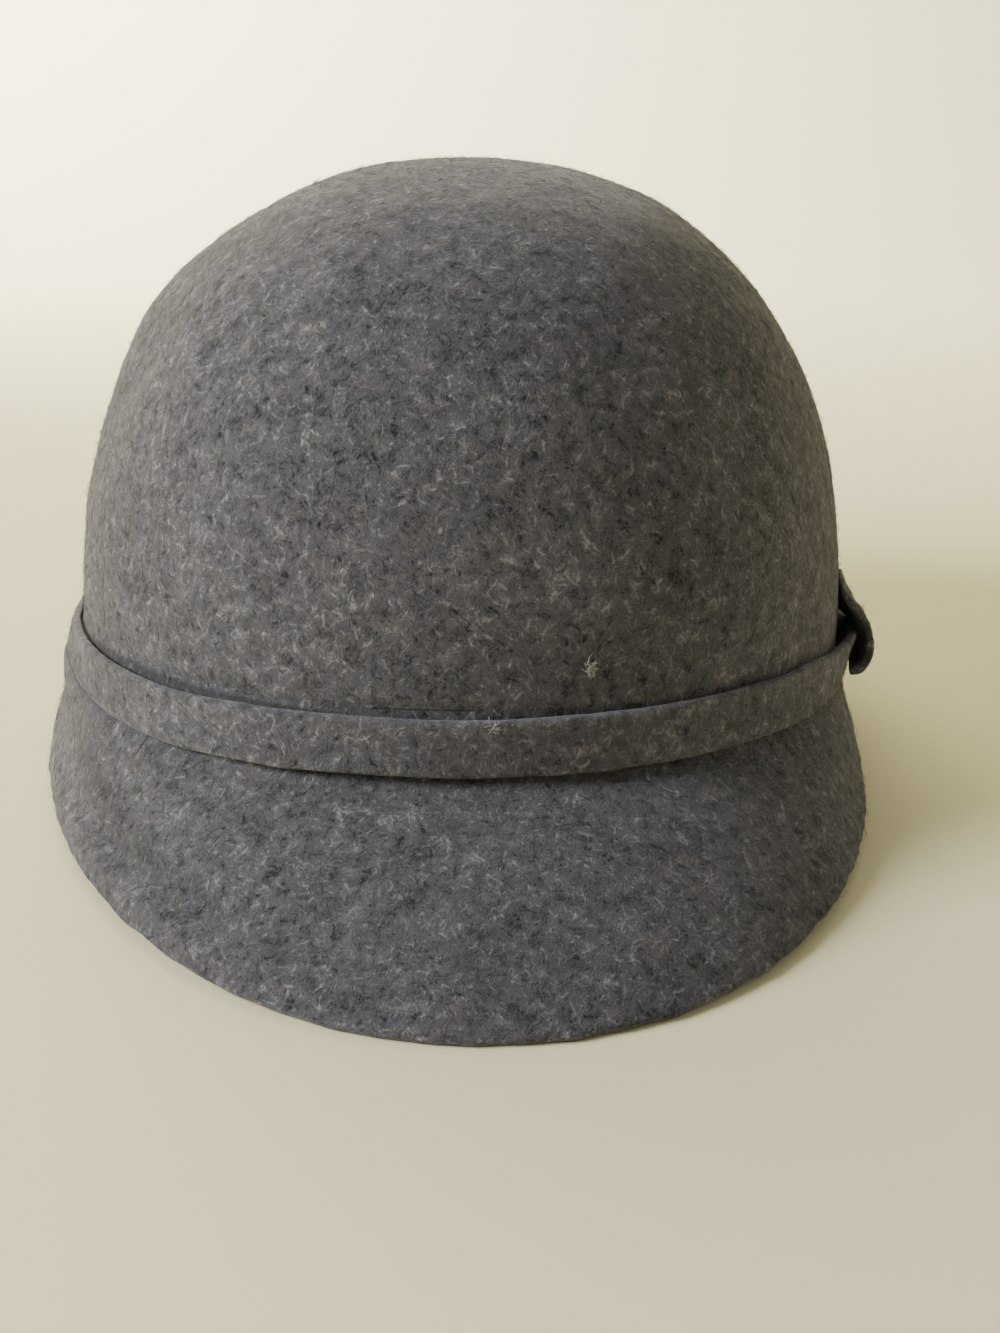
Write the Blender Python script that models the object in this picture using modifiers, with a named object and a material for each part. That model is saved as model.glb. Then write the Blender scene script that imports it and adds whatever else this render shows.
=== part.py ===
# A felt cloche hat with a front peak: one blocked hood of crown and brim, a felt band round the
# head line, and a felt loop that holds the band at the side.
# Metres, +Z up. The peak points along -Y, the loop is on the +X side, and the brim rests at z = 0.
# A turn is an angle round the crown in radians, 0 at the front and positive towards +X.

import math
from collections import namedtuple

import bmesh
import bpy
import numpy as np

# Hood
HOOD_FELT = 0.0024  # wall of the blocked felt
CROWN_WIDTH = 0.174  # outside of the crown at the head line, side to side
CROWN_DEPTH = 0.196  # outside of the crown at the head line, front to back
CROWN_HEIGHT = 0.107  # from the head line to the top
CROWN_LEAN = 0.0008  # how far the top sits towards +X
PLAN_POWER = 2.11  # superellipse of the crown from above: 2 is an ellipse
PROFILE_POWER = 2.36  # superellipse of the crown from the side: more is squarer shoulders
HEAD_LINE_FRONT = 0.0282  # height of the head line over the rim, where the peak springs
HEAD_LINE_BACK = 0.0177

# Brim
PEAK_REACH = 0.0505  # crown to rim at the front, measured level
SIDE_REACH = 0.0064
BACK_REACH = 0.0090
BRIM_SHIFT = -0.0021  # the brim was blocked this far off the crown's middle
RIM_POWER = 2.09  # superellipse of the rim from above
RIM_ARCH = 0.0024  # lift of the rim at the sides
RIM_CURL = math.radians(8)  # extra downward slope at the rim
RIM_PRESS = 0.0006  # felt flattened where the rim rests
SPRING_SHARE = 0.07  # share of the brim's width over which it turns out of the crown
RIM_SHARE = 0.42  # share of the brim's width that keeps the rim's slope

# Band
BAND_FELT = 0.0022
BAND_WIDTH = 0.0125
BAND_DROP = 0.0006  # lower edge under the head line
BAND_FLARE = 0.0006  # lower edge further out than the upper edge
BAND_SLACK = 0.0018  # how far the band stands off the crown at its loosest
SLACK_TURN = math.radians(-84)
SLACK_SPREAD = math.radians(38)
PINCH_SPREAD = math.radians(6.5)
PINCH_NARROW = 0.0052  # how much narrower the loop squeezes the band
PINCH_ROLL = 0.0024  # how far the squeezed band rolls out from the crown
FAN_RISE = 0.0010  # rise of the band's upper edge beside the squeeze
FAN_SPREAD = math.radians(16)

# Loop
LOOP_FELT = 0.0018
LOOP_LENGTH = 0.0150  # along the band
LOOP_TURN = math.radians(74)  # the middle of the loop
LOOP_OVER = 0.0063  # upper end above the band's upper edge
LOOP_UNDER = 0.0017  # lower end below the band's lower edge
LOOP_AIR = 0.0016  # between the rolled band and the arch of the loop

SEAM_GAP = 0.0004  # clearance between pieces that touch

# Soft unevenness of the crown: places as shares of the half width, half depth and crown height,
# reach as a share of the crown height and lift as a share of the felt. They fade above the band
Dent = namedtuple("Dent", "side fore up reach lift")
CROWN_DENTS = (
    Dent(side=-0.84, fore=0.10, up=0.76, reach=0.13, lift=0.62),  # fuller shoulder
    Dent(side=-0.52, fore=-0.10, up=0.95, reach=0.15, lift=-0.50),
    Dent(side=0.12, fore=-0.30, up=0.99, reach=0.30, lift=0.34),
    Dent(side=0.55, fore=0.60, up=0.46, reach=0.22, lift=-0.30),
    Dent(side=-0.45, fore=0.76, up=0.42, reach=0.20, lift=0.25),
)

# Soft unevenness of the brim: turn and its spread in degrees, place across the brim from the
# crown (0) to the rim (1), spread across as a share of the brim's width and lift of the felt
Ripple = namedtuple("Ripple", "turn across turn_spread across_spread lift")
BRIM_RIPPLES = (
    Ripple(turn=-38, across=0.84, turn_spread=17, across_spread=0.07, lift=-0.30),
    Ripple(turn=-36, across=0.98, turn_spread=22, across_spread=0.07, lift=0.25),
    Ripple(turn=-80, across=0.55, turn_spread=10, across_spread=0.30, lift=-0.30),
    Ripple(turn=48, across=0.70, turn_spread=16, across_spread=0.25, lift=-0.25),
)

# Path of the loop's strip: height as a share of the way from its lower to its upper end,
# out as a share of the way from lying on the crown to the top of its arch
Bend = namedtuple("Bend", "up out")
LOOP_BENDS = (
    Bend(up=0.00, out=0.46),
    Bend(up=0.06, out=0.80),
    Bend(up=0.18, out=0.98),
    Bend(up=0.37, out=1.00),
    Bend(up=0.55, out=0.86),
    Bend(up=0.69, out=0.62),
    Bend(up=0.80, out=0.34),
    Bend(up=0.91, out=0.10),
    Bend(up=1.00, out=0.00),
)

HOOD_COLUMNS = 72
CROWN_ROWS = 13
BRIM_ROWS = 8
BAND_COLUMNS = 120
BAND_ROWS = 3
LOOP_COLUMNS = 5
STEPS_PER_BEND = 2

FELT_GREY = (0.115, 0.112, 0.115, 1.0)
BAND_GREY = (0.100, 0.098, 0.101, 1.0)


def signed_power(value, power):
    """The size of value raised to power, with value's own sign."""
    return np.sign(value) * np.abs(value) ** power


def plan(turn, half_width, front, back, power):
    """A point of a superellipse seen from above, whose front and back half-depths may differ."""
    x = half_width * signed_power(np.sin(turn), 2 / power)
    ahead = signed_power(np.cos(turn), 2 / power)
    return x, -np.where(ahead > 0, front, back) * ahead


def plan_normal(turn):
    """The outward direction of the crown's plan."""
    x = signed_power(np.sin(turn), 2 - 2 / PLAN_POWER) / CROWN_WIDTH
    y = -signed_power(np.cos(turn), 2 - 2 / PLAN_POWER) / CROWN_DEPTH
    length = np.hypot(x, y)
    return np.stack([x / length, y / length, np.zeros_like(x)], -1)


def head_line(y):
    """Height of the head line, a plane that drops from front to back."""
    middle = (HEAD_LINE_FRONT + HEAD_LINE_BACK) / 2
    return middle + (HEAD_LINE_BACK - HEAD_LINE_FRONT) * y / CROWN_DEPTH


def crown_surface(turn, rise):
    """Outer surface of the crown, rise metres over the head line."""
    up = np.clip(rise, 0, CROWN_HEIGHT) / CROWN_HEIGHT
    shrink = (1 - up**PROFILE_POWER) ** (1 / PROFILE_POWER)
    half_depth = CROWN_DEPTH / 2 * shrink
    x, y = plan(turn, CROWN_WIDTH / 2 * shrink, half_depth, half_depth, PLAN_POWER)
    return np.stack([x + CROWN_LEAN * up, y, head_line(y) + rise], -1)


def rim(turn):
    """Upper outer corner of the cut rim, and the slope of the brim there."""
    x, y = plan(
        turn,
        CROWN_WIDTH / 2 + SIDE_REACH,
        CROWN_DEPTH / 2 + PEAK_REACH,
        CROWN_DEPTH / 2 + BACK_REACH,
        RIM_POWER,
    )
    spring = crown_surface(turn, np.zeros_like(turn))
    reach = np.hypot(x - spring[..., 0], y - spring[..., 1])
    slope = np.arctan2(spring[..., 2], reach) + RIM_CURL
    z = RIM_ARCH * np.sin(turn) ** 2 + HOOD_FELT * np.cos(slope) - RIM_PRESS
    return np.stack([x + BRIM_SHIFT, y, z], -1), slope


def brim_surface(turn, across):
    """Outer surface of the brim: a cubic curve from the head line (0) to the rim (1) that starts
    straight down the crown and ends at the rim's slope."""
    spring = crown_surface(turn, np.zeros_like(turn))
    edge, slope = rim(turn)
    chord = edge - spring
    width = np.linalg.norm(chord, axis=-1, keepdims=True)
    level = chord[..., :2] / np.linalg.norm(chord[..., :2], axis=-1, keepdims=True)
    fall = np.concatenate(
        [level * np.cos(slope)[..., None], -np.sin(slope)[..., None]], -1
    )
    leave = spring + np.array([0, 0, -1]) * SPRING_SHARE * width
    arrive = edge - fall * RIM_SHARE * width
    s = across[..., None]
    curve = (1 - s) ** 3 * spring + 3 * (1 - s) ** 2 * s * leave
    return curve + 3 * (1 - s) * s**2 * arrive + s**3 * edge


def surface_normals(points, apex_first):
    """Outward unit normals of a grid of points, rows running down and columns round the hat."""
    down = np.gradient(points, axis=0)
    wrapped = np.concatenate([points[:, -1:], points, points[:, :1]], 1)
    around = (wrapped[:, 2:] - wrapped[:, :-2]) / 2
    normals = np.cross(down, around)
    if apex_first:
        normals[0] = (0, 0, 1)
    return normals / np.linalg.norm(normals, axis=-1, keepdims=True)


def dented_crown(points):
    """The crown's points with every soft dent added along the surface's normal."""
    lift = np.zeros(points.shape[:-1])
    for dent in CROWN_DENTS:
        y = -dent.fore * CROWN_DEPTH / 2
        centre = (dent.side * CROWN_WIDTH / 2, y, head_line(y) + dent.up * CROWN_HEIGHT)
        away = np.linalg.norm(points - np.array(centre), axis=-1)
        lift += dent.lift * HOOD_FELT * np.exp(-((away / (dent.reach * CROWN_HEIGHT)) ** 2))
    return points + surface_normals(points, True) * lift[..., None]


def rippled_brim(points, turn, across):
    """The brim's points with every soft ripple added along the surface's normal. The rim's lowest
    corner keeps its place because the lift fades out where the brim rests."""
    lift = np.zeros(points.shape[:-1])
    for ripple in BRIM_RIPPLES:
        apart = (np.degrees(turn) - ripple.turn + 180) % 360 - 180
        round_share = np.exp(-((apart / ripple.turn_spread) ** 2))
        across_share = np.exp(-(((across - ripple.across) / ripple.across_spread) ** 2))
        lift += ripple.lift * HOOD_FELT * round_share * across_share
    lift *= 1 - across**8
    return points + surface_normals(points, False) * lift[..., None]


def hood_rows():
    """Rings of the hood's outer surface from the top of the crown to the rim."""
    turn = np.linspace(0, 2 * np.pi, HOOD_COLUMNS, endpoint=False)
    polar = np.linspace(np.pi / 2, 0, CROWN_ROWS + 1)
    rise = CROWN_HEIGHT * np.sin(polar) ** (2 / PROFILE_POWER)
    turns, rises = np.meshgrid(turn, rise)
    crown = dented_crown(crown_surface(turns, rises))
    share = np.linspace(0, 1, BRIM_ROWS + 1) ** 0.9
    turns, across = np.meshgrid(turn, share)
    brim = rippled_brim(brim_surface(turns, across), turns, across)
    return np.concatenate([crown, brim[1:]])


def turn_bump(turn, centre, spread):
    """A smooth bump of height 1 at a turn, the same all the way round the hat."""
    apart = (turn - centre + np.pi) % (2 * np.pi) - np.pi
    return np.exp(-((apart / spread) ** 2))


def band_stand_off(turn):
    """Distance from the crown to the inner face of the band's upper edge."""
    slack = BAND_SLACK * turn_bump(turn, SLACK_TURN, SLACK_SPREAD)
    return SEAM_GAP + slack + PINCH_ROLL * turn_bump(turn, LOOP_TURN, PINCH_SPREAD)


def band_top(turn):
    """Height of the band's upper edge over the head line."""
    squeeze = PINCH_NARROW * turn_bump(turn, LOOP_TURN, PINCH_SPREAD)
    fan = FAN_RISE * turn_bump(turn, LOOP_TURN, FAN_SPREAD)
    return BAND_WIDTH - BAND_DROP + fan - squeeze


def band_rows():
    """Rings of the band's inner face, from its upper to its lower edge."""
    turn = np.linspace(0, 2 * np.pi, BAND_COLUMNS, endpoint=False)
    turns, down = np.meshgrid(turn, np.linspace(0, 1, BAND_ROWS))
    rise = band_top(turns) * (1 - down) - BAND_DROP * down
    out = band_stand_off(turns) + BAND_FLARE * down
    return crown_surface(turns, rise) + plan_normal(turns) * out[..., None]


def smooth_path(bends):
    """Points along a Catmull-Rom curve through the bends, as pairs of shares."""
    knots = np.array(bends)
    knots = np.vstack([2 * knots[0] - knots[1], knots, 2 * knots[-1] - knots[-2]])
    points = []
    for first in range(len(bends) - 1):
        before, start, end, after = knots[first : first + 4]
        for step in range(STEPS_PER_BEND):
            t = step / STEPS_PER_BEND
            slope = (end - before) * t + (2 * before - 5 * start + 4 * end - after) * t**2
            points.append(start + (slope + (3 * start - before - 3 * end + after) * t**3) / 2)
    return np.array([*points, knots[-2]])


def loop_rows():
    """Rows across the middle surface of the loop's strip, from its upper to its lower end."""
    path = smooth_path(LOOP_BENDS)[::-1]
    top = BAND_WIDTH - BAND_DROP + LOOP_OVER
    bottom = -BAND_DROP - LOOP_UNDER
    lying = SEAM_GAP + LOOP_FELT / 2
    arch = SEAM_GAP + PINCH_ROLL + BAND_FELT + LOOP_AIR + LOOP_FELT / 2
    half_angle = LOOP_LENGTH / (CROWN_WIDTH + CROWN_DEPTH) * 2
    turn = LOOP_TURN + np.linspace(-half_angle, half_angle, LOOP_COLUMNS)
    turns, ups = np.meshgrid(turn, path[:, 0])
    outs = np.meshgrid(turn, path[:, 1])[1]
    rise = bottom + (top - bottom) * ups
    out = lying + (arch - lying) * outs
    return crown_surface(turns, rise) + plan_normal(turns) * out[..., None]


def lofted_mesh(name, rows, closed, cap_first=False):
    """A mesh skinned over rows of points. A closed loft joins its last column to its first."""
    mesh = bmesh.new()
    if cap_first:
        apex = mesh.verts.new(rows[0].mean(0))
        rows = rows[1:]
    rings = [[mesh.verts.new(point) for point in row] for row in rows]
    count = len(rings[0])
    spans = [(i, (i + 1) % count) for i in range(count if closed else count - 1)]
    if cap_first:
        for i, j in spans:
            mesh.faces.new((apex, rings[0][i], rings[0][j]))
    for upper, lower in zip(rings, rings[1:]):
        for i, j in spans:
            mesh.faces.new((upper[i], lower[i], lower[j], upper[j]))
    data = bpy.data.meshes.new(name)
    mesh.to_mesh(data)
    mesh.free()
    data.shade_smooth()
    return data


def felt_material(name, colour):
    """Matt felt in one grey."""
    material = bpy.data.materials.new(name)
    material.use_nodes = True
    shader = material.node_tree.nodes["Principled BSDF"]
    shader.inputs["Base Color"].default_value = colour
    shader.inputs["Roughness"].default_value = 0.95
    shader.inputs["Metallic"].default_value = 0.0
    return material


def add_object(name, mesh, collection, parent, material=None):
    """Put a mesh in the scene under the hat's own frame."""
    piece = bpy.data.objects.new(name, mesh)
    collection.objects.link(piece)
    piece.parent = parent
    if material:
        mesh.materials.append(material)
    return piece


def add_wall(piece, thickness, offset):
    """Give a sheet its thickness: offset -1 grows it behind its faces, 1 in front, 0 both ways."""
    wall = piece.modifiers.new("wall", "SOLIDIFY")
    wall.thickness = thickness
    wall.offset = offset
    wall.use_even_offset = True
    return wall


def add_rounding(piece, width):
    """Round the cut edges of a felt strip."""
    rounding = piece.modifiers.new("rounding", "BEVEL")
    rounding.width = width
    rounding.segments = 1
    rounding.limit_method = "ANGLE"
    rounding.angle_limit = math.radians(50)
    return rounding


def add_floor_trim(piece, collection, parent):
    """Cut the felt that would reach below the surface that the hat rests on."""
    bpy.ops.mesh.primitive_cube_add(size=1)
    trim = bpy.context.active_object
    trim.name = "floor_trim"
    for owner in trim.users_collection:
        owner.objects.unlink(trim)
    collection.objects.link(trim)
    length = CROWN_DEPTH + 2 * (PEAK_REACH + BACK_REACH)
    width = CROWN_WIDTH + 4 * SIDE_REACH + 2 * BAND_WIDTH
    depth = CROWN_HEIGHT / 4
    trim.scale = (width, length, depth)
    trim.location = (0, 0, -depth / 2)
    trim.parent = parent
    trim.hide_render = True
    trim.display_type = "WIRE"
    cut = piece.modifiers.new("floor_trim", "BOOLEAN")
    cut.operation = "DIFFERENCE"
    cut.object = trim


def hat_frame():
    """An empty that puts the middle of the hat's footprint at the origin."""
    rim_half = CROWN_WIDTH / 2 + SIDE_REACH
    left = BRIM_SHIFT - rim_half
    right = max(BRIM_SHIFT + rim_half, loop_rows()[..., 0].max() + LOOP_FELT / 2)
    frame = bpy.data.objects.new("hat_frame", None)
    frame.location = (-(left + right) / 2, (PEAK_REACH - BACK_REACH) / 2, 0)
    return frame


def build_hat():
    for old in list(bpy.data.objects):
        bpy.data.objects.remove(old, do_unlink=True)

    hat = bpy.data.collections.new("felt_cloche_hat")
    cutters = bpy.data.collections.new("cutters")
    for collection in (hat, cutters):
        bpy.context.scene.collection.children.link(collection)
    frame = hat_frame()
    hat.objects.link(frame)
    hood_felt = felt_material("hood_felt", FELT_GREY)
    band_felt = felt_material("band_felt", BAND_GREY)
    loop_felt = felt_material("loop_felt", BAND_GREY)

    hood = add_object(
        "felt_hood", lofted_mesh("felt_hood", hood_rows(), True, True), hat, frame, hood_felt
    )
    add_wall(hood, HOOD_FELT, -1)
    add_floor_trim(hood, cutters, frame)

    band = add_object("band", lofted_mesh("band", band_rows(), True), hat, frame, band_felt)
    add_wall(band, BAND_FELT, 1)
    add_rounding(band, BAND_FELT / 4)

    loop = add_object(
        "band_loop", lofted_mesh("band_loop", loop_rows(), False), hat, frame, loop_felt
    )
    add_wall(loop, LOOP_FELT, 0)
    add_rounding(loop, LOOP_FELT / 4)


build_hat()
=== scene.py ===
# A peaked felt cloche hat resting on a pale floor, in soft studio light.
# Lengths are metres and turns are radians round the crown, 0 at the peak and positive towards +X.

import math

import bpy
import numpy as np
from mathutils import Matrix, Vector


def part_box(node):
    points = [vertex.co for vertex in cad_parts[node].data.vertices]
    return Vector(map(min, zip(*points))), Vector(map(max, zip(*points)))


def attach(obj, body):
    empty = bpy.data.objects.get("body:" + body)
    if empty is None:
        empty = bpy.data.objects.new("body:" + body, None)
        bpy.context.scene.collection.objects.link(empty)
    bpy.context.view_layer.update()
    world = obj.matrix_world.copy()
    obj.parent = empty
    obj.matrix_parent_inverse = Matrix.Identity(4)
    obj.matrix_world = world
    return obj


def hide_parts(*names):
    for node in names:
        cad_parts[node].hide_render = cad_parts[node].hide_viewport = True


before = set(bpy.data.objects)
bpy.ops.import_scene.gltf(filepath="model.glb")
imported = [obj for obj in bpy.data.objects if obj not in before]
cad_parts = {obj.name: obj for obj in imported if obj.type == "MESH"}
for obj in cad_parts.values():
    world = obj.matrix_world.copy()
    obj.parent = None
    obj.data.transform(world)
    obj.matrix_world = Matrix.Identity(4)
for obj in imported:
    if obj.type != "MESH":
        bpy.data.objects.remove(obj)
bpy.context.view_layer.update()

hoodShape = {
    "felt": 0.0024,
    "crownWidth": 0.174,
    "crownDepth": 0.196,
    "crownHeight": 0.107,
    "crownLean": 0.0008,
    "planPower": 2.11,
    "profilePower": 2.36,
    "headLineFront": 0.0282,
    "headLineBack": 0.0177,
    "peakReach": 0.0505,
    "sideReach": 0.0064,
    "backReach": 0.0090,
    "brimShift": -0.0021,
    "rimPower": 2.09,
    "rimArch": 0.0024,
    "rimCurl": math.radians(8),
    "rimPress": 0.0006,
    "springShare": 0.07,  # of the brim's width, over which it turns out of the crown
    "rimShare": 0.42,  # of the brim's width, which keeps the rim's slope
    "cutCorner": 0.0007,  # rounding of the cut rim
    "columns": 400,
    "crownRows": 100,
    "brimRows": 40,
    "innerRows": 56,
    "profileSteps": 4000,
    "cutSteps": 5,
    # the crown's rows lie closer near this height over the head line
    "rowsAt": 0.012,
    "rowsSpread": 0.006,
    "rowsMore": 1.5,
    "brimRowPower": 1.1,
    # where the unevenness fades in: height over the head line, then shares of the brim's width
    "crownWavesFrom": 0.014,
    "crownWavesFade": 0.020,
    "brimWavesFrom": 0.10,
    "brimWavesFade": 0.25,
    "rippleFade": 0.125,
    # powers of the share across the brim: ripples die out at the rim and its own waves start there
    "rimCalm": 10,
    "rimWavePower": 6,
    # soft dents: place as shares of half width, half depth and crown height, then reach as a
    # share of the crown height and lift as a share of the felt
    "dents": (
        {"side": -0.84, "fore": 0.10, "up": 0.76, "reach": 0.13, "lift": 0.62},
        {"side": -0.52, "fore": -0.10, "up": 0.95, "reach": 0.15, "lift": -0.50},
        {"side": 0.12, "fore": -0.30, "up": 0.99, "reach": 0.30, "lift": 0.34},
        {"side": 0.55, "fore": 0.60, "up": 0.46, "reach": 0.22, "lift": -0.30},
        {"side": -0.45, "fore": 0.76, "up": 0.42, "reach": 0.20, "lift": 0.25},
    ),
    # ripples of the brim: turn and spread in degrees, place and spread across it, lift in felts
    "ripples": (
        {"turn": -42, "across": 0.79, "spread": 23, "width": 0.065, "lift": -0.85},
        {"turn": -43, "across": 0.92, "spread": 25, "width": 0.050, "lift": 0.80},
        {"turn": -84, "across": 0.30, "spread": 27, "width": 0.19, "lift": 1.30},
        {"turn": 48, "across": 0.70, "spread": 16, "width": 0.25, "lift": -0.25},
        {"turn": 8, "across": 0.45, "spread": 20, "width": 0.25, "lift": 0.16},
    ),
    # swelling of the hood under the band at the left, where the band spreads on the brim
    "swellTurn": math.radians(-86),
    "swellSpread": math.radians(33),
    "swellLift": 0.0021,
    "swellRise": 0.0052,
    "swellShare": 0.30,
    # groove that the band's upper edge presses into the crown at the left
    "grooveTurn": math.radians(-50),
    "grooveSpread": math.radians(42),
    "grooveRise": 0.0118,
    "grooveWide": 0.0014,
    "grooveDepth": 0.0009,
    "waves": {"count": 30, "shortest": 0.012, "longest": 0.055, "lift": 0.00016, "seed": 11},
    "rimWaves": {"count": 14, "shortest": 0.005, "longest": 0.024, "lift": 0.00013, "seed": 12},
}

# The crown's middle in the frame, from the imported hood's own box
hoodLow, hoodHigh = (np.array(corner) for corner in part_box("felt_hood"))
crownMiddle = np.array([
    hoodLow[0] + hoodShape["crownWidth"] / 2 + hoodShape["sideReach"] - hoodShape["brimShift"],
    hoodHigh[1] - hoodShape["crownDepth"] / 2 - hoodShape["backReach"],
    0.0,
])
crownRadius = (hoodShape["crownWidth"] + hoodShape["crownDepth"]) / 4


# Size raised to a power, with the value's own sign
def signedPower(value, power):
    return np.sign(value) * np.abs(value) ** power


# Superellipse from above: x = half width * sin^(2/n), y = -front or back depth * cos^(2/n)
def planPoint(turn, halfWidth, front, back, power):
    ahead = signedPower(np.cos(turn), 2 / power)
    x = halfWidth * signedPower(np.sin(turn), 2 / power)
    return x, -np.where(ahead > 0, front, back) * ahead


# Outward direction of the crown's superellipse: its gradient, scaled to length 1
def planNormal(turn):
    bend = 2 - 2 / hoodShape["planPower"]
    x = signedPower(np.sin(turn), bend) / hoodShape["crownWidth"]
    y = -signedPower(np.cos(turn), bend) / hoodShape["crownDepth"]
    length = np.hypot(x, y)
    return np.stack([x / length, y / length, np.zeros_like(x)], -1)


# Height of the head line: a plane that drops from the front of the crown to its back
def headLine(y):
    front, back = hoodShape["headLineFront"], hoodShape["headLineBack"]
    return (front + back) / 2 + (back - front) * y / hoodShape["crownDepth"]


# Crown: the plan shrunk by (1 - up^n)^(1/n) and raised by rise over the head line
def crownSurface(turn, rise):
    up = np.clip(rise / hoodShape["crownHeight"], 0, 1)
    power = hoodShape["profilePower"]
    shrink = (1 - up**power) ** (1 / power)
    halfDepth = hoodShape["crownDepth"] / 2 * shrink
    x, y = planPoint(
        turn, hoodShape["crownWidth"] / 2 * shrink, halfDepth, halfDepth, hoodShape["planPower"]
    )
    return np.stack([x + hoodShape["crownLean"] * up, y, headLine(y) + rise], -1)


# Rim: a wider superellipse at floor level, arched at the sides, with the brim's slope there
def rimCurve(turn):
    x, y = planPoint(
        turn,
        hoodShape["crownWidth"] / 2 + hoodShape["sideReach"],
        hoodShape["crownDepth"] / 2 + hoodShape["peakReach"],
        hoodShape["crownDepth"] / 2 + hoodShape["backReach"],
        hoodShape["rimPower"],
    )
    spring = crownSurface(turn, np.zeros_like(turn))
    reach = np.hypot(x - spring[..., 0], y - spring[..., 1])
    slope = np.arctan2(spring[..., 2], reach) + hoodShape["rimCurl"]
    z = hoodShape["rimArch"] * np.sin(turn) ** 2
    z = z + hoodShape["felt"] * np.cos(slope) - hoodShape["rimPress"]
    return np.stack([x + hoodShape["brimShift"], y, z], -1), slope


# Brim: a cubic Bezier curve from the head line, straight down at first, to the rim's slope
def brimSurface(turn, across):
    spring = crownSurface(turn, np.zeros_like(turn))
    edge, slope = rimCurve(turn)
    chord = edge - spring
    width = np.linalg.norm(chord, axis=-1, keepdims=True)
    level = chord[..., :2] / np.linalg.norm(chord[..., :2], axis=-1, keepdims=True)
    fall = np.concatenate([level * np.cos(slope)[..., None], -np.sin(slope)[..., None]], -1)
    leave = spring + np.array([0, 0, -1]) * hoodShape["springShare"] * width
    arrive = edge - fall * hoodShape["rimShare"] * width
    s = across[..., None]
    curve = (1 - s) ** 3 * spring + 3 * (1 - s) ** 2 * s * leave
    return curve + 3 * (1 - s) * s**2 * arrive + s**3 * edge


# Unit normals of a grid: rows running down crossed with columns running round
def gridNormals(points):
    down = np.gradient(points, axis=0)
    wrapped = np.concatenate([points[:, -1:], points, points[:, :1]], 1)
    normals = np.cross(down, (wrapped[:, 2:] - wrapped[:, :-2]) / 2)
    return normals / np.maximum(np.linalg.norm(normals, axis=-1, keepdims=True), 1e-12)


# Unevenness: a sum of sine waves in random directions, with an even spread of wavelengths
def softWaves(points, waves):
    rng = np.random.default_rng(waves["seed"])
    ways = rng.normal(size=(waves["count"], 3))
    ways /= np.linalg.norm(ways, axis=1, keepdims=True)
    lengths = np.geomspace(waves["shortest"], waves["longest"], waves["count"])
    phases = rng.uniform(0, 2 * np.pi, waves["count"])
    total = np.sin(points @ (ways * 2 * np.pi / lengths[:, None]).T + phases).sum(-1)
    return waves["lift"] * math.sqrt(2 / waves["count"]) * total


# 0 up to a start, then rising evenly to 1 over a width
def fadeIn(value, start, width):
    return np.clip((value - start) / width, 0, 1)


# A bump of height 1: exp of minus the squared distance from its turn, in spreads
def turnBump(turn, centre, spread):
    apart = (turn - centre + np.pi) % (2 * np.pi) - np.pi
    return np.exp(-((apart / spread) ** 2))


# The swelling at the left: its lift times a bump in turn and one in distance from the head line
def swell(turn, away):
    bump = turnBump(turn, hoodShape["swellTurn"], hoodShape["swellSpread"])
    return hoodShape["swellLift"] * bump * np.exp(-(away**2))


# Values of one column of a table at any turn, eased from row to row all the way round
def roundTable(turn, table, column):
    turns = np.radians([row["turn"] for row in table])
    values = np.array([row[column] for row in table])
    turns = np.append(turns, turns[0] + 2 * np.pi)
    values = np.append(values, values[0])
    place = (turn - turns[0]) % (2 * np.pi) + turns[0]
    row = np.clip(np.searchsorted(turns, place, side="right") - 1, 0, len(table) - 1)
    share = (place - turns[row]) / (turns[row + 1] - turns[row])
    share = share * share * (3 - 2 * share)
    return values[row] * (1 - share) + values[row + 1] * share


# Faces between rings of points: every quad of the grid, with the columns joined round
def ringFaces(rings, columns, joinEnds):
    count = rings if joinEnds else rings - 1
    row, column = np.meshgrid(np.arange(count), np.arange(columns), indexing="ij")
    here, below = row * columns, (row + 1) % rings * columns
    beside = (column + 1) % columns
    corners = [here + column, below + column, below + beside, here + beside]
    return np.stack(corners, -1).reshape(-1, 4)


# A smooth piece from its points in the frame and its faces
def newPiece(name, points, faces):
    mesh = bpy.data.meshes.new(name)
    mesh.from_pydata(points.reshape(-1, 3).tolist(), [], faces)
    mesh.shade_smooth()
    piece = bpy.data.objects.new(name, mesh)
    bpy.context.scene.collection.objects.link(piece)
    return piece


# A closed mesh over rings of points: a ring of rings, or a tube with a pole at both ends
def skinMesh(name, rings, poles=None):
    count, columns = rings.shape[:2]
    points = rings.reshape(-1, 3)
    faces = ringFaces(count, columns, poles is None).tolist()
    if poles is not None:
        points = np.concatenate([points, np.array(poles)])
        here = np.arange(columns)
        beside = (here + 1) % columns
        last = (count - 1) * columns
        start = np.stack([np.full(columns, count * columns), here, beside], -1)
        end = np.stack([last + beside, last + here, np.full(columns, count * columns + 1)], -1)
        faces += start.tolist() + end.tolist()
    return newPiece(name, points + crownMiddle, faces)


# Rounded rectangle as coefficients: u = a * (half wide - corner) + cu * corner, v likewise. It
# runs along its upper side towards +u, then down, back and up
def stripSection(flatSteps, cornerSteps):
    quarter = np.linspace(0, np.pi / 2, cornerSteps)
    flat = np.linspace(-1, 1, flatSteps + 1)[1:-1]
    a, b, cu, cv = [], [], [], []
    for side in (1, -1):
        a += [side * flat, np.full(cornerSteps, side), np.full(cornerSteps, side)]
        b += [np.full(flat.size, side), np.full(cornerSteps, side), np.full(cornerSteps, -side)]
        cu += [0 * flat, side * np.sin(quarter), side * np.cos(quarter)]
        cv += [np.full(flat.size, side), side * np.cos(quarter), -side * np.sin(quarter)]
    return tuple(np.concatenate(part) for part in (a, b, cu, cv))


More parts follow.
